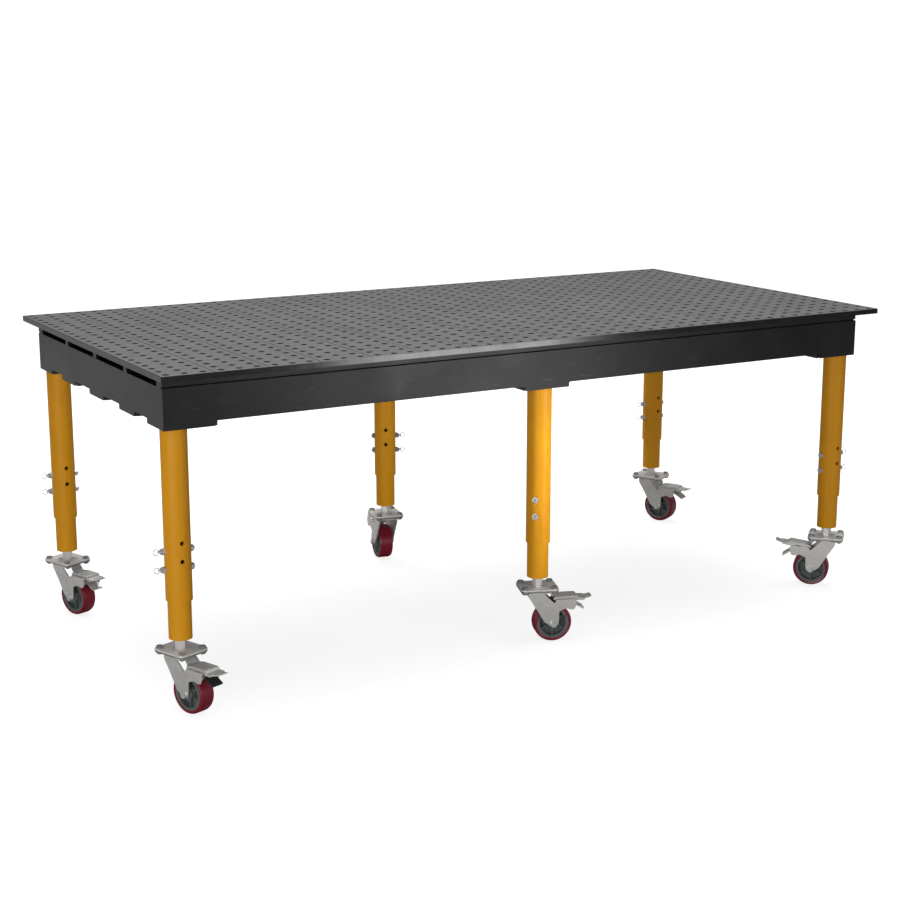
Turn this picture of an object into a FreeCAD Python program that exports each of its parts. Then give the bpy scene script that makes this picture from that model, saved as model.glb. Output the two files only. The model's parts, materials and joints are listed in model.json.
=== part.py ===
import FreeCAD, Part
import math
import os

# Welding table on six height-adjustable legs with total-lock swivel casters.
# Millimetres. X runs along the length, Y across the width, +Z up.
# The origin is the centre of the work surface: the middle of the hole grid.

os.makedirs("parts", exist_ok=True)

# ---- deck: steel planks laid across the width, drilled on a square grid ----
PITCH = 50.0
COLUMNS = 48
ROWS = 24
HOLE_R = 8.0
RIM = 20.0
DECK_T = 16.0
PLANK_COLUMNS = 3
SEAM = 0.5
SEAM_CHAMFER = 1.0
DECK_X = (COLUMNS - 1) * PITCH / 2 + RIM
DECK_Y = (ROWS - 1) * PITCH / 2 + RIM

# ---- flat rails that carry the planks ----
RAIL_YS = (-500.0, -250.0, 0.0, 250.0, 500.0)
RAIL_W = 25.0
RAIL_TOP = -DECK_T
OUTER_RAIL_FACE = 525.5
RAIL_GROOVE = 3.5
RAIL_GROOVE_DEPTH = 8.0
FRAME_TOP = -45.0
SCREW_R = 4.0
SCREW_HEAD_R = 7.0
SCREW_LENGTH = 34.0
SCREW_SOCKET_AF = 5.0
SCREW_SOCKET_DEPTH = 3.0

# ---- frame: skirts, cross plates and ribs, deep where they wrap a leg ----
FRAME_X = 1168.0
FRAME_Y = 527.5
SHEET = 6.0
SHALLOW = -142.0
DEEP = -156.0
END_POCKET = 1023.0
MID_POCKET = 75.0
POCKET_RIB = 412.0
RIB_YS = (POCKET_RIB, 311.0, 190.0, 60.0)
TAB_R = 4.0

# ---- legs: a sleeve bolted into its pocket, and an inner tube on two pins ----
LEG_X = 1126.0
LEG_Y = 485.5
SLEEVE_R = 36.0
SLEEVE_WALL = 4.0
SLEEVE_BOTTOM = -622.0
INNER_R = 31.65
INNER_WALL = 4.0
INNER_BOTTOM = -729.0
INNER_TOP = -203.0
HOLE_STEP = 50.0
PIN_Z = (-486.0, -536.0)
OPEN_Z = (-461.0, -511.0)
CROSS_HOLE_R = 6.2
MOUNT_T = 10.0
FLANGE_T = 8.0
FLANGE_OUT = 35.0
FLANGE_IN = 60.0
FLANGE_BOLT = 47.0
FLANGE_BOLT_SIDE = 22.0
BOLT_R = 5.0

# ---- locking pins ----
PIN_R = 5.9
COLLAR_AF = 17.0
COLLAR_OUT = 43.0
PIN_HEAD_R = 8.0
PIN_HEAD_T = 5.0
PIN_TIP = 3.0
RING_R = 8.0
RING_WIRE = 1.1

# ---- casters, in a frame on the swivel axis at floor level, trailing to +x ----
FLOOR = -928.0
WHEEL_R = 57.5
WHEEL_HALF = 23.5
TREAD_T = 10.0
TRAIL = 44.0
AXLE_R = 6.0
BUSH_R = 10.0
RUNNING = 0.08
HOLE_PLAY = 0.3
PIVOT_FIT = 0.05
ARM_IN = 29.0
ARM_OUT = 33.0
PLATE_TOP = 170.0
PLATE_T = 4.5
PLATE_X = 57.0
PLATE_Y = 50.0
PLATE_CORNER = 14.0
PLATE_BOLT_X = 44.0
PLATE_BOLT_Y = 36.0
STEM_AF = 27.0
RACE_R = 34.0
CROWN_TOP = 154.5
CROWN_T = 5.0
RACE_GAP = 0.3
KINGPIN_R = 7.0
KINGPIN_HEAD_R = 12.0
PEDAL_PIVOT = (68.0, 124.5)
LEVER_PIVOT = (89.0, 123.0)
PIVOT_R = 3.0
PEDAL_RAISE = 7.0
PEDAL_OUT = 24.0
PEDAL_IN = 21.0
PEDAL_TIP = 163.0
LEVER_HALF = 17.0
TONGUE_HALF = 16.0
LEVER_RATIO = -0.5

# Each leg: name, x, y, direction its pins are pulled in, heading its caster trails
# in, and how far its brake pedal stands raised, all angles in degrees.
LEGS = (
    ("front_left", -LEG_X, -LEG_Y, 180.0, 290.6, 0.0),
    ("front_middle", 0.0, -LEG_Y, 226.0, 339.4, 0.0),
    ("front_right", LEG_X, -LEG_Y, 0.0, 134.5, PEDAL_RAISE),
    ("back_left", -LEG_X, LEG_Y, 180.0, 291.2, 0.0),
    ("back_middle", 0.0, LEG_Y, 337.0, 79.6, 0.0),
    ("back_right", LEG_X, LEG_Y, 180.0, 296.4, 0.0),
)

V = FreeCAD.Vector
X_AXIS = V(1, 0, 0)
Y_AXIS = V(0, 1, 0)
Z_AXIS = V(0, 0, 1)


def box(x0, x1, y0, y1, z0, z1):
    corner = V(min(x0, x1), min(y0, y1), min(z0, z1))
    return Part.makeBox(abs(x1 - x0), abs(y1 - y0), abs(z1 - z0), corner)


def cylinder(r, height, base, axis=Z_AXIS):
    return Part.makeCylinder(r, height, base, axis)


def tube(r_out, r_in, height, base, axis=Z_AXIS):
    return cylinder(r_out, height, base, axis).cut(cylinder(r_in, height, base, axis))


def hexagon(across_flats, height, base, axis=Z_AXIS):
    """A hexagonal prism standing on base along axis."""
    r = across_flats / math.sqrt(3)
    corners = [V(r * math.cos(a), r * math.sin(a), 0) for a in
               [math.radians(60 * i) for i in range(7)]]
    prism = Part.Face(Part.makePolygon(corners)).extrude(V(0, 0, height))
    prism.Placement = FreeCAD.Placement(base, FreeCAD.Rotation(Z_AXIS, axis))
    return prism


def rounded_wire(points):
    """A closed wire through (x, y, r) points, each corner rounded to its r."""
    n = len(points)
    joints = []
    for i, (x, y, r) in enumerate(points):
        at = V(x, y, 0)
        before = V(*points[i - 1][:2], 0).sub(at).normalize()
        after = V(*points[(i + 1) % n][:2], 0).sub(at).normalize()
        if r == 0:
            joints.append((at, at, at))
            continue
        half = before.getAngle(after) / 2
        inward = before.add(after).normalize()
        start = at.add(V(before).multiply(r / math.tan(half)))
        end = at.add(V(after).multiply(r / math.tan(half)))
        middle = at.add(V(inward).multiply(r / math.sin(half) - r))
        joints.append((start, middle, end))
    edges = []
    for i, (start, middle, end) in enumerate(joints):
        if start.distanceToPoint(end) > 1e-6:
            edges.append(Part.Arc(start, middle, end).toShape())
        following = joints[(i + 1) % n][0]
        if end.distanceToPoint(following) > 1e-6:
            edges.append(Part.LineSegment(end, following).toShape())
    return Part.Wire(edges)


def plate_xy(points, z0, z1):
    plate = Part.Face(rounded_wire(points)).extrude(V(0, 0, z1 - z0))
    plate.translate(V(0, 0, z0))
    return plate


def plate_xz(points, y0, y1):
    """A plate whose outline is given as (x, z, r) and which fills y0 to y1."""
    plate = Part.Face(rounded_wire(points)).extrude(V(0, 0, y1 - y0))
    plate.rotate(V(0, 0, 0), X_AXIS, 90)
    plate.translate(V(0, y1, 0))
    return plate


def plate_yz(points, x0, x1):
    """A plate whose outline is given as (y, z, r) and which fills x0 to x1."""
    plate = plate_xz(points, -x1, -x0)
    plate.rotate(V(0, 0, 0), Z_AXIS, 90)
    return plate


def join(shapes):
    whole = shapes[0].multiFuse(shapes[1:]) if len(shapes) > 1 else shapes[0]
    return whole.removeSplitter()


def save(name, solids):
    shape = solids[0] if len(solids) == 1 else Part.makeCompound(solids)
    shape.exportStep("parts/" + name + ".step")


# ---------------------------------------------------------------- deck


def hole_xs():
    return [(i - (COLUMNS - 1) / 2) * PITCH for i in range(COLUMNS)]


def hole_ys():
    return [(j - (ROWS - 1) / 2) * PITCH for j in range(ROWS)]


def screw_points():
    """Two screws per plank over each rail, midway between hole columns."""
    xs = hole_xs()
    between = [(a + b) / 2 for i, (a, b) in enumerate(zip(xs, xs[1:]))
               if i % PLANK_COLUMNS != PLANK_COLUMNS - 1]
    return [(x, y) for x in between for y in RAIL_YS]


def screw_body():
    head_h = SCREW_HEAD_R - SCREW_R
    head = Part.makeCone(SCREW_R, SCREW_HEAD_R, head_h, V(0, 0, -head_h))
    return join([head, cylinder(SCREW_R, SCREW_LENGTH - head_h, V(0, 0, -SCREW_LENGTH))])


def deck_plank(xs, screws):
    x0 = xs[0] - PITCH / 2 + SEAM / 2
    x1 = xs[-1] + PITCH / 2 - SEAM / 2
    if xs[0] == hole_xs()[0]:
        x0 = -DECK_X
    if xs[-1] == hole_xs()[-1]:
        x1 = DECK_X
    c = SEAM_CHAMFER
    profile = [(x0, -DECK_T, 0), (x1, -DECK_T, 0), (x1, -c, 0), (x1 - c, 0, 0),
               (x0 + c, 0, 0), (x0, -c, 0)]
    plank = plate_xz(profile, -DECK_Y, DECK_Y)
    drills = [cylinder(HOLE_R, DECK_T, V(x, y, -DECK_T)) for x in xs for y in hole_ys()]
    seats = [screw_body().translated(V(x, y, 0)) for x, y in screws if x0 < x < x1]
    return plank.cut(Part.makeCompound(drills + seats))


def deck_rail(rail_y, screws):
    """A flat rail under the planks. The outer two are wide and reach the skirts'
    faces, with a groove above the skirt."""
    edges = [rail_y - RAIL_W / 2, rail_y + RAIL_W / 2]
    cuts = [cylinder(SCREW_R, SCREW_LENGTH, V(x, y, -SCREW_LENGTH))
            for x, y in screws if y == rail_y]
    if rail_y in (RAIL_YS[0], RAIL_YS[-1]):
        face = math.copysign(OUTER_RAIL_FACE, rail_y)
        groove_back = math.copysign(OUTER_RAIL_FACE - RAIL_GROOVE_DEPTH, rail_y)
        edges = sorted(edges, key=abs)[:1] + [face]
        cuts.append(box(-FRAME_X, FRAME_X, groove_back, face,
                        FRAME_TOP, FRAME_TOP + RAIL_GROOVE))
    rail = box(-FRAME_X, FRAME_X, edges[0], edges[1], FRAME_TOP, RAIL_TOP)
    return rail.cut(Part.makeCompound(cuts))


def build_deck():
    xs, screws = hole_xs(), screw_points()
    planks = [deck_plank(xs[i:i + PLANK_COLUMNS], screws)
              for i in range(0, COLUMNS, PLANK_COLUMNS)]
    save("deck_planks", planks)
    socket = hexagon(SCREW_SOCKET_AF, SCREW_SOCKET_DEPTH, V(0, 0, -SCREW_SOCKET_DEPTH))
    screw = screw_body().cut(socket)
    save("deck_screws", [screw.translated(V(x, y, 0)) for x, y in screws])
    save("deck_rails", [deck_rail(rail_y, screws) for rail_y in RAIL_YS])


# ---------------------------------------------------------------- frame


def stepped_outline(half, tabs):
    """Outline of a skirt: flat top, shallow bottom, deep over each (low, high) tab."""
    points = [(half, FRAME_TOP, 0), (-half, FRAME_TOP, 0)]
    for low, high in tabs:
        if low > -half:
            points += [(low, SHALLOW, TAB_R), (low, DEEP, TAB_R)]
        else:
            points += [(low, DEEP, 0)]
        if high < half:
            points += [(high, DEEP, TAB_R), (high, SHALLOW, TAB_R)]
        else:
            points += [(high, DEEP, 0)]
    return points


def build_frame():
    pockets_x = ((-FRAME_X, -END_POCKET), (-MID_POCKET, MID_POCKET), (END_POCKET, FRAME_X))
    side = stepped_outline(FRAME_X, pockets_x)
    save("front_skirt", [plate_xz(side, -FRAME_Y, -FRAME_Y + SHEET)])
    save("back_skirt", [plate_xz(side, FRAME_Y - SHEET, FRAME_Y)])

    inner_y = FRAME_Y - SHEET
    edge = POCKET_RIB - SHEET
    tabs_y = ((-inner_y, -edge), (-RIB_YS[1], -RIB_YS[2]), (-RIB_YS[3], RIB_YS[3]),
              (RIB_YS[2], RIB_YS[1]), (edge, inner_y))
    end = stepped_outline(inner_y, tabs_y)
    save("end_skirts", [plate_yz(end, -FRAME_X, -FRAME_X + SHEET),
                        plate_yz(end, FRAME_X - SHEET, FRAME_X)])

    cross = stepped_outline(inner_y, (tabs_y[0], tabs_y[-1]))
    walls = [(-END_POCKET, -END_POCKET + SHEET), (-MID_POCKET, -MID_POCKET + SHEET),
             (MID_POCKET - SHEET, MID_POCKET), (END_POCKET - SHEET, END_POCKET)]
    save("cross_plates", [plate_yz(cross, x0, x1) for x0, x1 in walls])

    spans = [(-FRAME_X + SHEET, -END_POCKET, DEEP),
             (-END_POCKET + SHEET, -MID_POCKET, SHALLOW),
             (-MID_POCKET + SHEET, MID_POCKET - SHEET, DEEP),
             (MID_POCKET, END_POCKET - SHEET, SHALLOW),
             (END_POCKET, FRAME_X - SHEET, DEEP)]
    ribs = []
    for y in RIB_YS:
        for side_y in (-1, 1):
            for x0, x1, bottom in spans:
                ribs.append(box(x0, x1, side_y * y, side_y * (y - SHEET),
                                bottom, FRAME_TOP))
    save("lengthwise_ribs", ribs)


# ---------------------------------------------------------------- leg sleeves


def leg_side(x):
    """The two directions from a leg, along X, in which its flange reaches far."""
    return (-1, 1) if x == 0 else ((1,) if x < 0 else (-1,))


def flange_bolts(x, y):
    inward_y = 1 if y < 0 else -1
    points = []
    for s in leg_side(x):
        points += [(x + s * FLANGE_BOLT, y + inward_y * FLANGE_BOLT),
                   (x + s * FLANGE_BOLT, y - inward_y * FLANGE_BOLT_SIDE)]
    if x != 0:
        points.append((x - leg_side(x)[0] * FLANGE_BOLT_SIDE, y + inward_y * FLANGE_BOLT))
    return points


def direction(degrees):
    a = math.radians(degrees)
    return V(math.cos(a), math.sin(a), 0)


def cross_holes(x, y, heading, heights, r):
    """Straight holes through a leg at the given heights, along heading."""
    reach = SLEEVE_R + 10
    away = direction(heading)
    return [cylinder(r, 2 * reach, V(x, y, z) - away * reach, away) for z in heights]


def leg_sleeve(x, y, pull):
    flange_z = FRAME_TOP - MOUNT_T - FLANGE_T
    body = cylinder(SLEEVE_R, flange_z - SLEEVE_BOTTOM, V(x, y, SLEEVE_BOTTOM))
    inward_y = 1 if y < 0 else -1
    xs = [x + s * (FLANGE_IN if s in leg_side(x) else FLANGE_OUT) for s in (-1, 1)]
    flange = box(xs[0], xs[1], y - inward_y * FLANGE_OUT, y + inward_y * FLANGE_IN,
                 flange_z, flange_z + FLANGE_T)
    sleeve = join([body, flange])
    bore = cylinder(SLEEVE_R - SLEEVE_WALL, flange_z - SLEEVE_BOTTOM,
                    V(x, y, SLEEVE_BOTTOM))
    holes = cross_holes(x, y, pull, PIN_Z, CROSS_HOLE_R)
    holes += cross_holes(x, y, pull + 90, OPEN_Z, CROSS_HOLE_R)
    bolts = [cylinder(BOLT_R, FLANGE_T, V(bx, by, flange_z))
             for bx, by in flange_bolts(x, y)]
    return sleeve.cut(Part.makeCompound([bore] + holes + bolts))


def pin_collars(x, y, pull):
    """Four weld nuts on a sleeve, one at each end of each pin hole."""
    collars = []
    for heading in (pull, pull + 180):
        away = direction(heading)
        for z in PIN_Z:
            start = V(x, y, z) + away * (SLEEVE_R - 3)
            collar = hexagon(COLLAR_AF, COLLAR_OUT - SLEEVE_R + 3, start, away)
            bore = cylinder(CROSS_HOLE_R, COLLAR_OUT, V(x, y, z), away)
            barrel = cylinder(SLEEVE_R, 60, V(x, y, z - 30))
            collars.append(collar.cut(bore).cut(barrel))
    return collars


def build_leg_mounts():
    inner_x, inner_y = FRAME_X - SHEET, FRAME_Y - SHEET
    flange_z = FRAME_TOP - MOUNT_T - FLANGE_T
    mounts, sleeves, collars, bolts = [], [], [], []
    for _, x, y, pull, _, _ in LEGS:
        if x == 0:
            x0, x1 = -MID_POCKET + SHEET, MID_POCKET - SHEET
        else:
            x0, x1 = math.copysign(inner_x, x), math.copysign(END_POCKET, x)
        mount = box(x0, x1, math.copysign(inner_y, y), math.copysign(POCKET_RIB, y),
                    FRAME_TOP - MOUNT_T, FRAME_TOP)
        for bx, by in flange_bolts(x, y):
            tip = FRAME_TOP - 1
            shank = cylinder(BOLT_R, tip - flange_z, V(bx, by, flange_z))
            head = hexagon(16, 6.4, V(bx, by, flange_z - 6.4))
            mount = mount.cut(shank)
            bolts.append(join([head, shank]))
        mounts.append(mount)
        sleeves.append(leg_sleeve(x, y, pull))
        collars += pin_collars(x, y, pull)
    save("leg_mount_plates", mounts)
    save("leg_sleeves", sleeves)
    save("pin_collars", collars)
    save("leg_bolts", bolts)


# ---------------------------------------------------------------- moving leg parts


def inner_tube(x, y, pull):
    """The sliding tube, drilled on two crossed lines, with a plug welded in its foot."""
    height = INNER_TOP - INNER_BOTTOM
    body = tube(INNER_R, INNER_R - INNER_WALL, height, V(x, y, INNER_BOTTOM))
    plug = tube(INNER_R - INNER_WALL, 10.0, 12.0, V(x, y, INNER_BOTTOM))
    pin_line = [PIN_Z[0] + k * HOLE_STEP for k in range(-2, 6)]
    open_line = [OPEN_Z[0] + k * HOLE_STEP for k in range(-2, 5)]
    holes = cross_holes(x, y, pull, pin_line, CROSS_HOLE_R)
    holes += cross_holes(x, y, pull + 90, open_line, CROSS_HOLE_R)
    return join([body, plug]).cut(Part.makeCompound(holes))


def locking_pin(x, y, z, pull):
    """A pin through both collars, with an eye and a pull ring on its head."""
    away = direction(pull)
    centre = V(x, y, z)
    head_end = COLLAR_OUT + PIN_HEAD_T
    shank = cylinder(PIN_R, 2 * COLLAR_OUT + PIN_TIP, centre - away * (COLLAR_OUT + PIN_TIP),
                     away)
    head = cylinder(PIN_HEAD_R, PIN_HEAD_T, centre + away * COLLAR_OUT, away)
    lug_r, lug_t = 4.5, 3.5
    eye = centre + away * (head_end + 3.5)
    lug = cylinder(lug_r, lug_t, eye - Z_AXIS * (lug_t / 2))
    neck = Part.makeBox(4.5, 2 * lug_r, lug_t, V(0, -lug_r, -lug_t / 2))
    neck.rotate(V(0, 0, 0), Z_AXIS, pull)
    neck.translate(centre + away * (head_end - 1))
    pin = join([shank, head, lug, neck])
    pin = pin.cut(cylinder(2.2, 2 * lug_t, eye - Z_AXIS * lug_t))
    side = direction(pull + 90)
    ring = Part.makeTorus(RING_R, RING_WIRE, eye + away * RING_R, side)
    return [pin, ring]


def place(shape, x, y, heading):
    """Move a caster piece from its own frame to its leg."""
    shape = shape.copy()
    shape.rotate(V(0, 0, 0), Z_AXIS, heading)
    shape.translate(V(x, y, FLOOR))
    return shape


def rounded_rectangle(half_x, half_y, r):
    return [(-half_x, -half_y, r), (half_x, -half_y, r), (half_x, half_y, r),
            (-half_x, half_y, r)]


def caster_mount():
    """Adapter plate with its hex stem, the caster's own top plate, and four bolts."""
    corners = [(sx * PLATE_BOLT_X, sy * PLATE_BOLT_Y) for sx in (-1, 1) for sy in (-1, 1)]
    holes = [cylinder(BOLT_R + HOLE_PLAY, 40, V(x, y, PLATE_TOP - 30)) for x, y in corners]
    drills = Part.makeCompound(holes)
    outline = rounded_rectangle(PLATE_X, PLATE_Y, PLATE_CORNER)
    foot = INNER_BOTTOM - FLOOR
    adapter = join([
        plate_xy(outline, PLATE_TOP - PLATE_T, PLATE_TOP),
        hexagon(STEM_AF, foot - PLATE_TOP, V(0, 0, PLATE_TOP)),
        cylinder(9.9, 14.0, V(0, 0, foot)),
    ]).cut(drills)
    low = PLATE_TOP - 2 * PLATE_T
    top_plate = join([
        plate_xy(outline, low, PLATE_TOP - PLATE_T),
        cylinder(RACE_R, low - CROWN_TOP - RACE_GAP, V(0, 0, CROWN_TOP + RACE_GAP)),
        cylinder(KINGPIN_R, CROWN_T + 2, V(0, 0, CROWN_TOP - CROWN_T - 1)),
        cylinder(KINGPIN_HEAD_R, 3.0, V(0, 0, CROWN_TOP - CROWN_T - 3.0 - RACE_GAP)),
    ]).cut(drills)
    solids = [adapter, top_plate]
    for x, y in corners:
        head = hexagon(17, 6.5, V(x, y, PLATE_TOP))
        shank = cylinder(BOLT_R, 2 * PLATE_T + 8.5, V(x, y, low - 8.5))
        nut = hexagon(17, 6.0, V(x, y, low - 6.0)).cut(cylinder(BOLT_R, 6, V(x, y, low - 6)))
        solids += [join([head, shank]), nut]
    return solids


def fork_side():
    """Outline of one fork arm with the brake housing behind it, as (x, z, r)."""
    return [
        (-33, CROWN_TOP, 4), (-32, 142, 10), (-9, 107, 20), (16, 64, 10), (38, 49, 12),
        (58, 49, 12), (60.5, 72, 6), (60.5, 96, 5), (82, 104, 5), (98, 99.5, 4),
        (107, 101, 3), (113, 113, 4), (113, 131, 3), (52, 131, 4), (47, 120, 3.5),
        (19, 147, 5), (14, CROWN_TOP, 3),
    ]


def caster_fork():
    """Swivelling fork: crown, two arms with the brake housing, tongue and axle."""
    arms = [plate_xz(fork_side(), y0, y0 + ARM_OUT - ARM_IN) for y0 in (-ARM_OUT, ARM_IN)]
    crown = plate_xy([(-33, -ARM_OUT, 3), (14, -ARM_OUT, 3), (34, -20, 6), (34, 20, 6),
                      (14, ARM_OUT, 3), (-33, ARM_OUT, 3)],
                     CROWN_TOP - CROWN_T, CROWN_TOP)
    tongue = plate_xz([(28, CROWN_TOP - CROWN_T, 0), (28, CROWN_TOP, 0), (36, CROWN_TOP, 8),
                       (46, 140, 0), (42.5, 138, 0), (34, CROWN_TOP - CROWN_T, 5)],
                      -TONGUE_HALF, TONGUE_HALF)
    body = join(arms + [crown, tongue])
    bore = cylinder(KINGPIN_R + HOLE_PLAY, 20, V(0, 0, CROWN_TOP - 10))
    pivots = [cylinder(PIVOT_R + PIVOT_FIT, 80, V(x, -40, z), Y_AXIS)
              for x, z in (PEDAL_PIVOT, LEVER_PIVOT)]
    hub_axis = V(TRAIL, 0, WHEEL_R)
    axle_hole = cylinder(AXLE_R + HOLE_PLAY, 80, hub_axis - Y_AXIS * 40, Y_AXIS)
    body = body.cut(Part.makeCompound([bore, axle_hole] + pivots))
    axle = join([
        cylinder(AXLE_R, 2 * ARM_OUT + 8, hub_axis - Y_AXIS * ARM_OUT, Y_AXIS),
        hexagon(18, 6.5, hub_axis - Y_AXIS * (ARM_OUT + 6.5), Y_AXIS),
    ])
    nut = hexagon(18, 6.5, hub_axis + Y_AXIS * ARM_OUT, Y_AXIS)
    nut = nut.cut(cylinder(AXLE_R, 6.5, hub_axis + Y_AXIS * ARM_OUT, Y_AXIS))
    bush = tube(BUSH_R, AXLE_R, 2 * ARM_IN, hub_axis - Y_AXIS * ARM_IN, Y_AXIS)
    return [body, axle, nut, bush]


def turned(profile):
    """A ring turned about the wheel axis from (radius, y, r) points."""
    face = Part.Face(rounded_wire(profile))
    ring = face.revolve(V(0, 0, 0), Y_AXIS, 360)
    ring.translate(V(TRAIL, 0, WHEEL_R))
    return ring


def wheel_tread():
    r_in = WHEEL_R - TREAD_T
    w = WHEEL_HALF
    return [turned([(r_in, -w + 2, 0), (WHEEL_R - 3, -w, 3), (WHEEL_R, -w + 7, 9),
                    (WHEEL_R, w - 7, 9), (WHEEL_R - 3, w, 3), (r_in, w - 2, 0)])]


def wheel_hub():
    """Cast hub: rim, web, boss and six ribs on each side."""
    r_out = WHEEL_R - TREAD_T
    w = WHEEL_HALF - 2
    rim = turned([(39, -w, 1.5), (r_out, -w, 0), (r_out, w, 0), (39, w, 1.5)])
    web = turned([(18, -4, 0), (40, -4, 0), (40, 4, 0), (18, 4, 0)])
    boss = turned([(BUSH_R + RUNNING, -24.5, 0), (18, -24.5, 1.5), (21, 0, 0),
                   (18, 24.5, 1.5), (BUSH_R + RUNNING, 24.5, 0)])
    ribs = []
    for i in range(6):
        rib = box(17, 41, -14, 14, -2.5, 2.5)
        rib.rotate(V(0, 0, 0), Y_AXIS, 60 * i + 30)
        rib.translate(V(TRAIL, 0, WHEEL_R))
        ribs.append(rib)
    return [join([rim, web, boss] + ribs)]


def raised(shape, pivot, degrees):
    """Turn a lever up about its pivot, which runs across the fork."""
    shape.rotate(V(pivot[0], 0, pivot[1]), Y_AXIS, -degrees)
    return shape


def cross_pin(pivot):
    """The pin a lever turns on, long enough to be riveted in both fork arms."""
    return cylinder(PIVOT_R, 2 * ARM_OUT + 2, V(pivot[0], -ARM_OUT - 1, pivot[1]), Y_AXIS)


def brake_pedal(angle):
    """Channel pedal: top, two cheeks, a stepped blade with an upturned lip, a shoe."""
    cheek = [(46, 136, 0), (64, 139, 30), (117, 139, 4), (124.5, 131.5, 4), (143, 131.5, 2),
             (139, 125, 3), (101, 125, 3), (96, 130.5, 3), (82, 130.5, 3), (79.5, 118, 2),
             (62, 118, 4), (57, 127, 4), (46, 129, 2)]
    cheeks = [plate_xz(cheek, y0, y0 + PEDAL_OUT - PEDAL_IN)
              for y0 in (-PEDAL_OUT, PEDAL_IN)]
    top = plate_xz([(46, 133, 0), (46, 136, 0), (64, 139, 30), (117, 139, 4),
                    (124.5, 131.5, 4), (150, 131.5, 18), (PEDAL_TIP, 135.5, 0),
                    (PEDAL_TIP + 0.6, 132.6, 0), (150, 128.5, 18), (123, 128.5, 4),
                    (115.5, 136, 4), (64, 136, 30)], -PEDAL_OUT, PEDAL_OUT)
    blade = LEVER_HALF
    trim = plate_xy([(40, -PEDAL_OUT, 0), (138, -PEDAL_OUT, 4), (146, -blade, 6),
                     (PEDAL_TIP, -blade, 6), (PEDAL_TIP, blade, 6), (146, blade, 6),
                     (138, PEDAL_OUT, 4), (40, PEDAL_OUT, 0)], 100, 160)
    shoe_r = WHEEL_R + 1.5
    shoe = tube(shoe_r + 5, shoe_r, 30, V(TRAIL, -15, WHEEL_R), Y_AXIS)
    shoe = shoe.common(box(66, 84, -15, 15, 90, 125))
    post = box(72, 78, -PEDAL_IN, PEDAL_IN, 113, 121)
    channel = join(cheeks + [top.common(trim), shoe, post])
    pin = cross_pin(PEDAL_PIVOT)
    return [raised(s, PEDAL_PIVOT, angle) for s in (channel.cut(pin), pin)]


def release_lever(angle):
    """Lower lever: a bent tongue on its own pin, with a rubber pad on the end."""
    strap = plate_xz([(84, 117.5, 3), (84, 128, 4), (94, 128, 4), (95, 120, 3),
                      (106, 117.5, 8), (138, 98, 0), (136.4, 95.4, 0), (104, 114.2, 8)],
                     -LEVER_HALF, LEVER_HALF)
    pad = plate_xz([(116, 111.4, 0), (117.3, 113.5, 1), (140.6, 99.3, 1.5),
                    (137.3, 93.9, 0.8), (136.4, 95.4, 0), (138, 98, 0)],
                   -LEVER_HALF - 1, LEVER_HALF + 1)
    pin = cross_pin(LEVER_PIVOT)
    return [raised(s, LEVER_PIVOT, angle) for s in (strap.cut(pin), pad, pin)]


def build_legs():
    for name, x, y, pull, heading, pedal_angle in LEGS:
        save("inner_tube_" + name, [inner_tube(x, y, pull)])
        pins = [s for z in PIN_Z for s in locking_pin(x, y, z, pull)]
        save("locking_pins_" + name, pins)
        pieces = {
            "caster_mount_": caster_mount(),
            "caster_fork_": caster_fork(),
            "wheel_tread_": wheel_tread(),
            "wheel_hub_": wheel_hub(),
            "brake_pedal_": brake_pedal(pedal_angle),
            "release_lever_": release_lever(LEVER_RATIO * pedal_angle),
        }
        for kind, solids in pieces.items():
            save(kind + name, [place(s, x, y, heading) for s in solids])


build_deck()
build_frame()
build_leg_mounts()
build_legs()
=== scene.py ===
import json
import math

import bmesh
import bpy
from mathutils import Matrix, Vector

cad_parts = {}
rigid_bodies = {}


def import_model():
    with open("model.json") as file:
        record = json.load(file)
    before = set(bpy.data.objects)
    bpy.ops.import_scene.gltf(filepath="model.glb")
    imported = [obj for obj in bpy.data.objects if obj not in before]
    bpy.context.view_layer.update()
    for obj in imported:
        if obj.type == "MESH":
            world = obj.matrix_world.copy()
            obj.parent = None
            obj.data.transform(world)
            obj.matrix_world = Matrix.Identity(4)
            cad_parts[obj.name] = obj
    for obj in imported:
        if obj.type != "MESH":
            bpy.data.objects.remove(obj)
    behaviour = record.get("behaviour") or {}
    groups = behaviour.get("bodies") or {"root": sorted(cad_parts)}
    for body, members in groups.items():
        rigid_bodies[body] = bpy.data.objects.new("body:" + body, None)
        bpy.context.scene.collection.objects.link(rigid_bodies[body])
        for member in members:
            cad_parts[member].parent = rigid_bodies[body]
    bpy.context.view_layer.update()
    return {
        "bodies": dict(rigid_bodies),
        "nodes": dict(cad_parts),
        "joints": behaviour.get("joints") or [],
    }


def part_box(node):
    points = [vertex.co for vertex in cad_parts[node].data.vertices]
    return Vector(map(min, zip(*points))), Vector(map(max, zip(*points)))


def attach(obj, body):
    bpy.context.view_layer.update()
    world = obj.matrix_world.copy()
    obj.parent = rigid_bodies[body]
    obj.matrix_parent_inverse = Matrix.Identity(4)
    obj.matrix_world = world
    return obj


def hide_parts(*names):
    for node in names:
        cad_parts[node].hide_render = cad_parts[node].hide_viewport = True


# The looks of a welding table: a drilled deck of steel planks on a black frame,
# six amber legs and six total-lock casters. Metres, Z up, origin at the centre
# of the work surface.

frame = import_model()
NODES = frame["nodes"]
LEG_NAMES = ("front_left", "front_middle", "front_right",
             "back_left", "back_middle", "back_right")
FLOOR_Z = -0.928
MM = 0.001

# ------------------------------------------------------------------ materials


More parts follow.
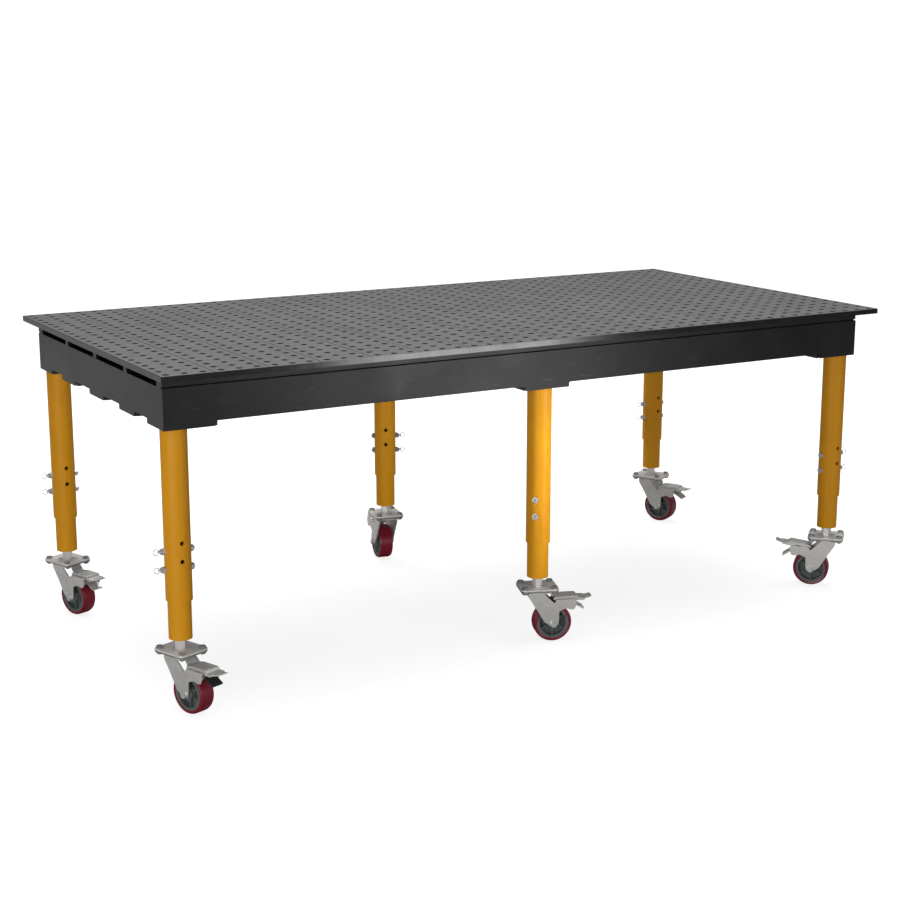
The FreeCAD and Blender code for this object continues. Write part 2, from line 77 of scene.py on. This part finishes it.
class Mat:
    """A node material built a step at a time around one Principled shader."""

    def __init__(self, name):
        self.mat = bpy.data.materials.new(name)
        self.mat.use_nodes = True
        self.nt = self.mat.node_tree
        self.shader = self.nt.nodes["Principled BSDF"]
        self.coords = self.node("ShaderNodeTexCoord").outputs["Object"]

    def node(self, kind, inputs=None, **settings):
        made = self.nt.nodes.new(kind)
        for key, value in settings.items():
            setattr(made, key, value)
        for key, value in (inputs or {}).items():
            self.put(made.inputs[key], value)
        return made

    def put(self, socket, value):
        if isinstance(value, bpy.types.NodeSocket):
            self.nt.links.new(value, socket)
        else:
            socket.default_value = value

    def set(self, **values):
        for key, value in values.items():
            self.put(self.shader.inputs[key.replace("_", " ")], value)

    def stretched(self, scale):
        return self.node("ShaderNodeMapping", {"Vector": self.coords, "Scale": scale}
                         ).outputs["Vector"]

    def noise(self, scale, detail, rough, stretch=None):
        vector = self.stretched(stretch) if stretch else self.coords
        return self.node("ShaderNodeTexNoise", {
            "Vector": vector, "Scale": scale, "Detail": detail,
            "Roughness": rough}).outputs[0]

    def remap(self, value, low, high, to_low=0.0, to_high=1.0):
        return self.node("ShaderNodeMapRange", {
            "Value": value, "From Min": low, "From Max": high, "To Min": to_low,
            "To Max": to_high}, clamp=True).outputs["Result"]

    def maths(self, operation, a, b):
        made = self.node("ShaderNodeMath", operation=operation)
        self.put(made.inputs[0], a)
        self.put(made.inputs[1], b)
        return made.outputs[0]

    def mix(self, share, a, b):
        made = self.node("ShaderNodeMix", data_type="RGBA")
        self.put(made.inputs[0], share)
        self.put(made.inputs[6], (*a, 1.0) if isinstance(a, tuple) else a)
        self.put(made.inputs[7], (*b, 1.0) if isinstance(b, tuple) else b)
        return made.outputs[2]

    def bump(self, height, distance, strength, under=None):
        made = self.node("ShaderNodeBump", {"Height": height, "Distance": distance,
                                            "Strength": strength})
        if under is not None:
            self.put(made.inputs["Normal"], under)
        return made.outputs["Normal"]

    def attribute(self, name):
        return self.node("ShaderNodeAttribute", attribute_name=name).outputs["Fac"]


def deck_material():
    """Blackened steel plate: cloudy scale, fine grinding marks, bright worn edges."""
    m = Mat("deck_blackened_steel")
    clouds = m.noise(3.1, 5.0, 0.6)
    blotch = m.noise(24.0, 4.0, 0.6)
    grain = m.noise(160.0, 3.0, 0.6, stretch=(0.15, 1.0, 1.0))
    speck = m.noise(900.0, 2.0, 0.5)
    base = m.mix(m.remap(clouds, 0.3, 0.7), (0.078, 0.078, 0.079), (0.098, 0.098, 0.100))
    base = m.mix(m.remap(blotch, 0.45, 0.75, 0.0, 0.40), base, (0.120, 0.119, 0.118))
    base = m.mix(m.remap(speck, 0.62, 0.75, 0.0, 0.35), base, (0.13, 0.128, 0.125))
    wear = m.maths("POWER", m.attribute("wear"), 4.0)
    wear = m.maths("MULTIPLY", wear, m.remap(blotch, 0.30, 0.62, 0.25, 1.0))
    base = m.mix(m.maths("MULTIPLY", wear, 0.30), base, (0.24, 0.237, 0.233))
    rough = m.remap(grain, 0.3, 0.7, 0.40, 0.56)
    rough = m.maths("SUBTRACT", rough, m.maths("MULTIPLY", wear, 0.10))
    fine = m.bump(grain, 0.00012, 0.5)
    m.set(Base_Color=base, Metallic=0.35, Roughness=rough,
          Normal=m.bump(blotch, 0.0004, 0.25, fine))
    return m.mat


def bore_material():
    """The drilled walls and chamfers of the holes: near-black painted shade with faint rings
    from the drill.
    """
    m = Mat("bore_painted_shade")
    rings = m.noise(900.0, 2.0, 0.5, stretch=(0.1, 0.1, 1.0))
    # The near-black is painted shade that makes the holes read dark; the rings only vary it.
    colour = m.mix(m.remap(rings, 0.3, 0.7), (0.003, 0.003, 0.003), (0.008, 0.008, 0.008))
    m.set(Base_Color=colour, Roughness=m.remap(rings, 0.3, 0.7, 0.55, 0.75),
          Normal=m.bump(rings, 0.0002, 0.5))
    m.shader.inputs["Specular IOR Level"].default_value = 0.2
    return m.mat


def edge_material():
    """Sawn sides of the planks: dark scale that still mirrors a bright light."""
    m = Mat("deck_edge_scale")
    drag = m.noise(420.0, 3.0, 0.6, stretch=(1.0, 1.0, 0.1))
    cloud = m.noise(14.0, 4.0, 0.6)
    colour = m.mix(m.remap(cloud, 0.3, 0.7), (0.058, 0.058, 0.059), (0.080, 0.080, 0.081))
    m.set(Base_Color=colour, Metallic=0.9, Roughness=m.remap(drag, 0.3, 0.7, 0.12, 0.17),
          Normal=m.bump(drag, 0.0001, 0.5))
    return m.mat


def black_paint(name, base):
    """Semi-gloss black powder coat with orange peel and a little handling dust."""
    m = Mat(name)
    peel = m.noise(420.0, 2.0, 0.5)
    dust = m.noise(9.0, 5.0, 0.65)
    scuff = m.noise(60.0, 3.0, 0.7, stretch=(0.25, 1.0, 1.0))
    lighter = tuple(c * 1.9 + 0.006 for c in base)
    colour = m.mix(m.remap(dust, 0.4, 0.75, 0.0, 0.6), base, lighter)
    colour = m.mix(m.remap(scuff, 0.64, 0.74, 0.0, 0.25), colour, (0.09, 0.09, 0.09))
    m.set(Base_Color=colour, Roughness=m.remap(dust, 0.3, 0.7, 0.30, 0.38),
          Normal=m.bump(peel, 0.0002, 0.35))
    return m.mat


def amber_paint():
    """Amber powder coat: fine orange peel, faint clouding, dull patches where handled."""
    m = Mat("amber_powder_coat")
    peel = m.noise(380.0, 2.0, 0.5)
    cloud = m.noise(7.0, 4.0, 0.6)
    rub = m.noise(30.0, 4.0, 0.7, stretch=(1.0, 1.0, 0.35))
    colour = m.mix(m.remap(cloud, 0.3, 0.7), (0.66, 0.280, 0.0035), (0.73, 0.318, 0.0045))
    colour = m.mix(m.remap(rub, 0.60, 0.80, 0.0, 0.35), colour, (0.50, 0.205, 0.004))
    m.set(Base_Color=colour, Roughness=m.remap(cloud, 0.3, 0.7, 0.38, 0.48),
          Normal=m.bump(peel, 0.0002, 0.4))
    m.shader.inputs["Specular IOR Level"].default_value = 0.22
    return m.mat


SPANGLE_SCALE = 550.0
SPANGLE_SHARE = 0.06
CLOUD_SHADE = 0.82


def zinc(name, base, rough_low, rough_high, metallic=0.85):
    """Bright zinc plate: faint spangle, cloudy passivation, fine drawn scratches."""
    m = Mat(name)
    cells = m.node("ShaderNodeTexVoronoi", {"Vector": m.coords, "Scale": SPANGLE_SCALE}
                   ).outputs["Color"]
    cloud = m.noise(38.0, 4.0, 0.6)
    scratch = m.noise(300.0, 3.0, 0.6, stretch=(1.0, 0.2, 1.0))
    darker = tuple(c * CLOUD_SHADE for c in base)
    colour = m.mix(m.remap(cloud, 0.3, 0.72), base, darker)
    colour = m.mix(SPANGLE_SHARE, colour, cells)
    m.set(Base_Color=colour, Metallic=metallic,
          Roughness=m.remap(cloud, 0.3, 0.7, rough_low, rough_high),
          Normal=m.bump(scratch, 0.00008, 0.5))
    return m.mat


def tread_material():
    """Crimson cast polyurethane: slightly mottled, satin, with rolling scuffs."""
    m = Mat("crimson_polyurethane")
    mottle = m.noise(60.0, 4.0, 0.6)
    scuff = m.noise(220.0, 3.0, 0.7)
    colour = m.mix(m.remap(mottle, 0.3, 0.7), (0.175, 0.005, 0.017), (0.245, 0.008, 0.026))
    colour = m.mix(m.remap(scuff, 0.60, 0.78, 0.0, 0.35), colour, (0.10, 0.012, 0.018))
    m.set(Base_Color=colour, Roughness=m.remap(scuff, 0.3, 0.7, 0.26, 0.42),
          Normal=m.bump(scuff, 0.0003, 0.3))
    return m.mat


def hub_material():
    """Grey-green painted casting with a sand-cast surface."""
    m = Mat("cast_hub_paint")
    sand = m.noise(260.0, 4.0, 0.65)
    cloud = m.noise(34.0, 4.0, 0.6)
    colour = m.mix(m.remap(cloud, 0.3, 0.7), (0.100, 0.120, 0.118), (0.150, 0.172, 0.168))
    m.set(Base_Color=colour, Metallic=0.15, Roughness=m.remap(sand, 0.3, 0.7, 0.42, 0.62),
          Normal=m.bump(sand, 0.0005, 0.45))
    return m.mat


def rubber_material():
    """Black moulded rubber with a fine matt grip."""
    m = Mat("black_rubber")
    grip = m.noise(300.0, 3.0, 0.6)
    colour = m.mix(m.remap(grip, 0.3, 0.7), (0.012, 0.012, 0.013), (0.026, 0.026, 0.027))
    m.set(Base_Color=colour, Roughness=m.remap(grip, 0.3, 0.7, 0.55, 0.75),
          Normal=m.bump(grip, 0.0003, 0.5))
    return m.mat


MATERIALS = {
    "deck": deck_material(),
    "bore": bore_material(),
    "edge": edge_material(),
    "screw": zinc("screw_black_oxide", (0.16, 0.16, 0.165), 0.32, 0.46),
    "frame": black_paint("frame_black_powder_coat", (0.0040, 0.0040, 0.0042)),
    "rail": black_paint("rail_black_powder_coat", (0.0045, 0.0045, 0.0047)),
    "leg": amber_paint(),
    "zinc": zinc("bright_zinc", (0.74, 0.74, 0.76), 0.24, 0.38),
    # A lighter copy of the zinc for the caster mount plates: painted light on plates that sit in
    # the table's shade.
    "plate": zinc("plate_zinc_painted_light", (0.93, 0.92, 0.90), 0.30, 0.42, 0.50),
    # A darker copy of the zinc for the mount bolts: painted shade that stands in for their dark
    # reflections.
    "bolt": zinc("bolt_painted_shade", (0.46, 0.455, 0.45), 0.20, 0.32, 0.90),
    "caster": zinc("caster_zinc", (0.82, 0.805, 0.78), 0.31, 0.41, 0.66),
    "hub": hub_material(),
    "tread": tread_material(),
    "rubber": rubber_material(),
}


def give(obj, *materials):
    if obj.data.materials:
        obj.data.materials.clear()
    for name in materials:
        obj.data.materials.append(MATERIALS[name])


# ------------------------------------------------------------------ mesh helpers


WELD_REACH = 1e-6
SMOOTH_ANGLE = 30.0


def new_piece(name, verts, faces, body, materials, wear, kinds):
    """A mesh piece that rides on a CAD body. kinds gives some faces another material."""
    mesh = bpy.data.meshes.new(name)
    mesh.from_pydata([tuple(v) for v in verts], [], faces)
    for i, kind in kinds.items():
        mesh.polygons[i].material_index = kind
    mesh.attributes.new("wear", "FLOAT", "POINT").data.foreach_set("value", wear)
    bm = bmesh.new()
    bm.from_mesh(mesh)
    bmesh.ops.remove_doubles(bm, verts=bm.verts, dist=WELD_REACH)
    bmesh.ops.recalc_face_normals(bm, faces=bm.faces)
    bm.to_mesh(mesh)
    bm.free()
    mesh.shade_smooth()
    mesh.set_sharp_from_angle(angle=math.radians(SMOOTH_ANGLE))
    obj = bpy.data.objects.new(name, mesh)
    bpy.context.scene.collection.objects.link(obj)
    give(obj, *materials)
    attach(obj, body)
    return obj


# ------------------------------------------------------------------ deck

PITCH = 0.050
COLUMNS, ROWS = 48, 24
PLANK_COLUMNS = 3
DECK_X, DECK_Y, DECK_T = 1.195, 0.595, 0.016
HOLE_R, HOLE_CHAMFER, HOLE_HALO = 0.0080, 0.0014, 0.0106
EDGE = 0.0010
SEAM = 0.0005
BORE, SAWN = 1, 2
EDGE_WEAR, RIM_WEAR, SINK_WEAR, FOOT_WEAR = 0.5, 0.6, 0.7, 0.3
HOLE_SEGMENTS = 24
SIDE_STEPS = 4
SINK_R, SINK_IN, SINK_DEPTH = 0.0072, 0.0042, 0.0030
SINK_STEPS = 4
RAIL_YS = (-0.5, -0.25, 0.0, 0.25, 0.5)


def cell_outline(x0, x1, y0, y1, sunk):
    """Points round a cell, anticlockwise, with a quarter circle cut from each sunk corner."""
    corners = ((x0, y0), (x1, y0), (x1, y1), (x0, y1))
    points = []
    for i, (cx, cy) in enumerate(corners):
        nx, ny = corners[(i + 1) % 4]
        length = math.hypot(nx - cx, ny - cy)
        ux, uy = (nx - cx) / length, (ny - cy) / length
        start = SINK_R if corners[i] in sunk else 0.0
        stop = length - (SINK_R if corners[(i + 1) % 4] in sunk else 0.0)
        if corners[i] in sunk:
            px, py = corners[i - 1]
            back = math.atan2(py - cy, px - cx)
            for k in range(SINK_STEPS):
                a = back - (math.pi / 2) * k / SINK_STEPS
                points.append((cx + SINK_R * math.cos(a), cy + SINK_R * math.sin(a)))
        for k in range(SIDE_STEPS):
            d = start + (stop - start) * k / SIDE_STEPS
            points.append((cx + ux * d, cy + uy * d))
    return points


class Faces:
    """Collects vertices, faces and a wear value for each vertex."""

    def __init__(self):
        self.verts, self.faces, self.wear, self.kinds = [], [], [], {}

    def add(self, points, wear=0.0):
        first = len(self.verts)
        self.verts += points
        self.wear += [wear] * len(points)
        return list(range(first, first + len(points)))

    def strip(self, a, b, kind=0):
        n = len(a)
        for i in range(n):
            j = (i + 1) % n
            if kind:
                self.kinds[len(self.faces)] = kind
            self.faces.append((a[i], a[j], b[j], b[i]))

    def zip(self, outer, inner, centre):
        """Triangles between two loops round centre that have different counts."""
        def angle(i):
            x, y = self.verts[i][0] - centre[0], self.verts[i][1] - centre[1]
            return math.atan2(y, x) % (2 * math.pi)
        a = sorted(outer, key=angle)
        b = sorted(inner, key=angle)
        turn = 2 * math.pi
        aa = [angle(i) for i in a] + [angle(a[0]) + turn]
        bb = [angle(i) for i in b] + [angle(b[0]) + turn]
        i = j = 0
        while i < len(a) or j < len(b):
            if j >= len(b) or (i < len(a) and aa[i + 1] <= bb[j + 1]):
                self.faces.append((a[i % len(a)], a[(i + 1) % len(a)], b[j % len(b)]))
                i += 1
            else:
                self.faces.append((b[(j + 1) % len(b)], b[j % len(b)], a[i % len(a)]))
                j += 1


def circle(cx, cy, r, z, n=HOLE_SEGMENTS):
    return [(cx + r * math.cos(2 * math.pi * (k + 0.5) / n),
             cy + r * math.sin(2 * math.pi * (k + 0.5) / n), z) for k in range(n)]


def build_plank(index, xs, ys):
    """One plank: every hole chamfered top and bottom, edges eased, screws sunk in."""
    first, last = xs[0] == XS[0], xs[-1] == XS[-1]
    x0 = -DECK_X if first else xs[0] - PITCH / 2 + SEAM / 2
    x1 = DECK_X if last else xs[-1] + PITCH / 2 - SEAM / 2
    screws = {(round(a + PITCH / 2, 6), round(y, 6)) for a in xs[:-1] for y in RAIL_YS}
    f = Faces()
    for top in (True, False):
        z = 0.0 if top else -DECK_T
        down = -1.0 if top else 1.0
        inset = EDGE if top else 0.0
        for x in xs:
            for y in ys:
                xa = x0 + inset if x == xs[0] else x - PITCH / 2
                xb = x1 - inset if x == xs[-1] else x + PITCH / 2
                ya = -DECK_Y + inset if y == ys[0] else y - PITCH / 2
                yb = DECK_Y - inset if y == ys[-1] else y + PITCH / 2
                box = [round(v, 6) for v in (xa, xb, ya, yb)]
                sunk = {c for c in ((box[0], box[2]), (box[1], box[2]), (box[1], box[3]),
                                    (box[0], box[3])) if top and c in screws}
                outline = [(px, py, z) for px, py in cell_outline(*box, sunk)]
                outer = f.add(outline)
                for i, (px, py, _) in zip(outer, outline):
                    if min(py + DECK_Y - inset, DECK_Y - inset - py) < 1e-7:
                        f.wear[i] = EDGE_WEAR
                halo = f.add(circle(x, y, HOLE_HALO, z))
                rim = f.add(circle(x, y, HOLE_R + HOLE_CHAMFER, z), RIM_WEAR)
                lip = f.add(circle(x, y, HOLE_R, z + down * HOLE_CHAMFER), RIM_WEAR)
                below = f.add(circle(x, y, HOLE_R, z + down * 3 * HOLE_CHAMFER))
                middle = f.add(circle(x, y, HOLE_R, -DECK_T / 2))
                f.zip(outer, halo, (x, y))
                f.strip(halo, rim)
                # The chamfer and the bore below it take the near-black painted shade of the
                # holes.
                f.strip(rim, lip, kind=BORE)
                f.strip(lip, below, kind=BORE)
                f.strip(below, middle, kind=BORE)
    for sx, sy in screws:
        n = 4 * SINK_STEPS
        ring = [[(sx + r * math.cos(2 * math.pi * k / n), sy + r * math.sin(2 * math.pi * k / n),
                  z) for k in range(n)] for r, z in ((SINK_R, 0.0), (SINK_IN, -SINK_DEPTH))]
        f.strip(f.add(ring[0], SINK_WEAR), f.add(ring[1]))
    side_x = [x0] + [x + PITCH / 2 for x in xs[:-1]] + [x1]
    side_y = [-DECK_Y] + [y + PITCH / 2 for y in ys[:-1]] + [DECK_Y]

    def run(cuts, inset):
        ends = [cuts[0] + inset] + cuts[1:-1] + [cuts[-1] - inset]
        return [a + (b - a) * k / SIDE_STEPS for a, b in zip(ends, ends[1:])
                for k in range(SIDE_STEPS)] + [ends[-1]]

    def perimeter(inset, z, wear):
        px, py = run(side_x, inset), run(side_y, inset)
        a, b, c, d = x0 + inset, x1 - inset, -DECK_Y + inset, DECK_Y - inset
        loop = [(x, c, z) for x in px[:-1]] + [(b, y, z) for y in py[:-1]]
        loop += [(x, d, z) for x in px[:0:-1]] + [(a, y, z) for y in py[:0:-1]]
        return f.add(loop, wear)

    loops = [perimeter(EDGE, 0.0, EDGE_WEAR), perimeter(0.0, -EDGE, EDGE_WEAR),
             perimeter(0.0, -3 * EDGE, 0.0), perimeter(0.0, -DECK_T, FOOT_WEAR)]
    chamfer = len(f.faces)
    f.strip(loops[0], loops[1])
    # The eased edges along a seam are as dark as the sawn sides under them.
    for k in range(chamfer, len(f.faces)):
        a, b = f.faces[k][:2]
        if f.verts[a][0] == f.verts[b][0]:
            f.kinds[k] = SAWN
    for a, b in zip(loops[1:], loops[2:]):
        f.strip(a, b, kind=SAWN)
    plank = new_piece(f"deck_plank_{index:02d}", f.verts, f.faces, "frame",
                      ("deck", "bore", "edge"), f.wear, f.kinds)
    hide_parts("deck_planks")


XS = [round((i - (COLUMNS - 1) / 2) * PITCH, 6) for i in range(COLUMNS)]
YS = [round((j - (ROWS - 1) / 2) * PITCH, 6) for j in range(ROWS)]
for number, start in enumerate(range(0, COLUMNS, PLANK_COLUMNS), 1):
    build_plank(number, XS[start:start + PLANK_COLUMNS], YS)

# ------------------------------------------------------------------ carried-over CAD nodes


EASE_ANGLE = 32.0
EASE_SEGMENTS = 2
EASE_WELD = 1e-5


def dress(node, *materials, bevel=0.0):
    """Finish for a CAD node. bevel mm eases its edges; without it the CAD's normals stay."""
    obj = NODES[node]
    give(obj, *materials)
    if bevel:
        obj.data.shade_smooth()
        weld = obj.modifiers.new("weld", "WELD")
        weld.merge_threshold = EASE_WELD
        ease = obj.modifiers.new("ease", "BEVEL")
        ease.width = bevel * MM
        ease.segments = EASE_SEGMENTS
        ease.limit_method = "ANGLE"
        ease.angle_limit = math.radians(EASE_ANGLE)
        ease.harden_normals = True
        flat = obj.modifiers.new("flat", "WEIGHTED_NORMAL")
        flat.mode = "FACE_AREA"
        flat.weight = 100
        flat.keep_sharp = True
    return obj


# A caster mount's bolts are what stands above or below its plate, away from its middle.
PLATE_HIGH = FLOOR_Z + 0.1701
PLATE_LOW = FLOOR_Z + 0.1654
BOLT_REACH = 0.035
# One release lever has a rubber tip: what lies farther than this from its swivel axis.
PAD_LEG = "front_left"
PAD_AXIS = (-1.126, -0.4855)
PAD_REACH = 0.1155
PLAIN = (("deck_screws", "screw", 0.0), ("deck_rails", "rail", 0.5),
         ("front_skirt", "frame", 0.7), ("back_skirt", "frame", 0.7),
         ("end_skirts", "frame", 0.7), ("cross_plates", "frame", 0.5),
         ("lengthwise_ribs", "frame", 0.5), ("leg_mount_plates", "frame", 0.6),
         ("leg_sleeves", "leg", 0.0), ("pin_collars", "zinc", 0.0),
         ("leg_bolts", "zinc", 0.4))
for node, material, width in PLAIN:
    dress(node, material, bevel=width)
for leg in LEG_NAMES:
    dress("inner_tube_" + leg, "leg")
    dress("locking_pins_" + leg, "zinc")
    # The mount plate takes the lighter zinc copy, painted light.
    mount = dress("caster_mount_" + leg, "plate", "bolt")
    (x0, y0, _), (x1, y1, _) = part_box("caster_mount_" + leg)
    # Bolt faces take the darker zinc copy, painted shade for their dark reflections.
    for face in mount.data.polygons:
        at = mount.matrix_world @ face.center
        out = math.hypot(at.x - (x0 + x1) / 2, at.y - (y0 + y1) / 2)
        if out > BOLT_REACH and not PLATE_LOW < at.z < PLATE_HIGH:
            face.material_index = 1
    dress("caster_fork_" + leg, "caster", bevel=0.5)
    dress("wheel_tread_" + leg, "tread")
    dress("wheel_hub_" + leg, "hub")
    dress("brake_pedal_" + leg, "caster", bevel=0.4)
    dress("release_lever_" + leg, "caster", bevel=0.3)
# A second dressing on top of the first, so this lever's edges are eased twice.
lever = dress("release_lever_" + PAD_LEG, "caster", "rubber", bevel=0.3)
for face in lever.data.polygons:
    at = lever.matrix_world @ face.center
    if math.hypot(at.x - PAD_AXIS[0], at.y - PAD_AXIS[1]) > PAD_REACH:
        face.material_index = 1

# ------------------------------------------------------------------ studio

LOOK = Vector((0.484, 0.846, -0.223)).normalized()
CAMERA_AT = Vector((-2.7032, -4.6868, 0.7965))
LENS = 69.96
SENSOR = 36.0
VIEW_END = 200.0

camera = bpy.data.objects.new("camera", bpy.data.cameras.new("camera"))
bpy.context.scene.collection.objects.link(camera)
camera.data.lens = LENS
camera.data.sensor_width = SENSOR
camera.data.clip_end = VIEW_END
camera.location = CAMERA_AT
camera.rotation_euler = LOOK.to_track_quat("-Z", "Y").to_euler()
bpy.context.scene.camera = camera


def softbox(name, at, towards, size, power):
    """A white rectangular light that the camera doesn't see."""
    light = bpy.data.lights.new(name, "AREA")
    light.shape = "RECTANGLE"
    light.size, light.size_y = size
    light.energy = power
    obj = bpy.data.objects.new(name, light)
    bpy.context.scene.collection.objects.link(obj)
    obj.location = at
    obj.rotation_euler = (Vector(towards) - Vector(at)).to_track_quat("-Z", "Y").to_euler()
    obj.visible_camera = False
    return obj


MIDDLE_SPREAD = 60.0
softbox("overhead", (0.3, 0.7, 3.6), (0.0, 0.0, -0.5), (5.0, 4.0), 345.0)
softbox("right_front", (1.40, -3.6, -0.58), (-0.35, -0.5, -0.20), (1.1, 0.65), 12.5)
softbox("left_fill", (-3.75, -3.1, -0.2), (-0.6, 0.0, -0.5), (2.6, 1.4), 72.0)
softbox("back_left", (-2.6, 3.0, -0.5), (-1.2, 0.0, -0.1), (2.2, 1.2), 2.4)
middle = softbox("middle_leg", (0.33, -1.27, -0.36), (0.0, -0.49, -0.36), (0.30, 0.50), 1.1)
middle.data.spread = math.radians(MIDDLE_SPREAD)
middle.visible_glossy = False

WHITE = (1.0, 1.0, 1.0, 1.0)
WORLD_LIGHT, WORLD_SEEN = 0.22, 1.05
world = bpy.data.worlds.new("studio")
bpy.context.scene.world = world
world.use_nodes = True
wt = world.node_tree
seen = wt.nodes.new("ShaderNodeLightPath")
background = wt.nodes["Background"]
strength = wt.nodes.new("ShaderNodeMapRange")
wt.links.new(seen.outputs["Is Camera Ray"], strength.inputs["Value"])
strength.inputs["To Min"].default_value = WORLD_LIGHT
strength.inputs["To Max"].default_value = WORLD_SEEN
wt.links.new(strength.outputs["Result"], background.inputs["Strength"])
background.inputs["Color"].default_value = WHITE

# How far a leg draws up from rest, which is how far the floor may rise.
LEG_RISE = max(-joint["range_m"][0] for joint in frame["joints"]
               if joint["name"].startswith("leg_height_"))
FLOOR_REACH = 60.0
PAPER_GREY = (0.34, 0.34, 0.34, 1.0)
floor_mesh = bpy.data.meshes.new("floor")
floor_mesh.from_pydata([(-FLOOR_REACH, -FLOOR_REACH, FLOOR_Z),
                        (FLOOR_REACH, -FLOOR_REACH, FLOOR_Z),
                        (FLOOR_REACH, FLOOR_REACH, FLOOR_Z),
                        (-FLOOR_REACH, FLOOR_REACH, FLOOR_Z)], [], [(0, 1, 2, 3)])
floor = bpy.data.objects.new("floor", floor_mesh)
bpy.context.scene.collection.objects.link(floor)
# The paper lies under the lowest caster, so that a leg let down isn't hidden below it.
floor.location.z = LEG_RISE
for leg in LEG_NAMES:
    under = floor.constraints.new("FLOOR")
    under.target = frame["bodies"]["inner_leg_" + leg]
    under.floor_location = "FLOOR_NEGATIVE_Z"
paper = bpy.data.materials.new("pale_floor")
paper.use_nodes = True
pt = paper.node_tree
principled = pt.nodes["Principled BSDF"]
principled.inputs["Base Color"].default_value = PAPER_GREY
principled.inputs["Roughness"].default_value = 0.9
principled.inputs["Specular IOR Level"].default_value = 0.0
principled.inputs["Emission Color"].default_value = WHITE
# The paper glows for the camera alone, a little more away from the table.
path = pt.nodes.new("ShaderNodeLightPath")
where = pt.nodes.new("ShaderNodeTexCoord")
away = pt.nodes.new("ShaderNodeVectorMath")
away.operation = "LENGTH"
pt.links.new(where.outputs["Object"], away.inputs[0])
fade = pt.nodes.new("ShaderNodeMapRange")
pt.links.new(away.outputs["Value"], fade.inputs["Value"])
for key, value in (("From Min", 1.4), ("From Max", 3.6), ("To Min", 0.84), ("To Max", 1.02)):
    fade.inputs[key].default_value = value
glow = pt.nodes.new("ShaderNodeMath")
glow.operation = "MULTIPLY"
pt.links.new(path.outputs["Is Camera Ray"], glow.inputs[0])
pt.links.new(fade.outputs["Result"], glow.inputs[1])
pt.links.new(glow.outputs[0], principled.inputs["Emission Strength"])
floor_mesh.materials.append(paper)

bpy.context.scene.view_settings.view_transform = "Standard"
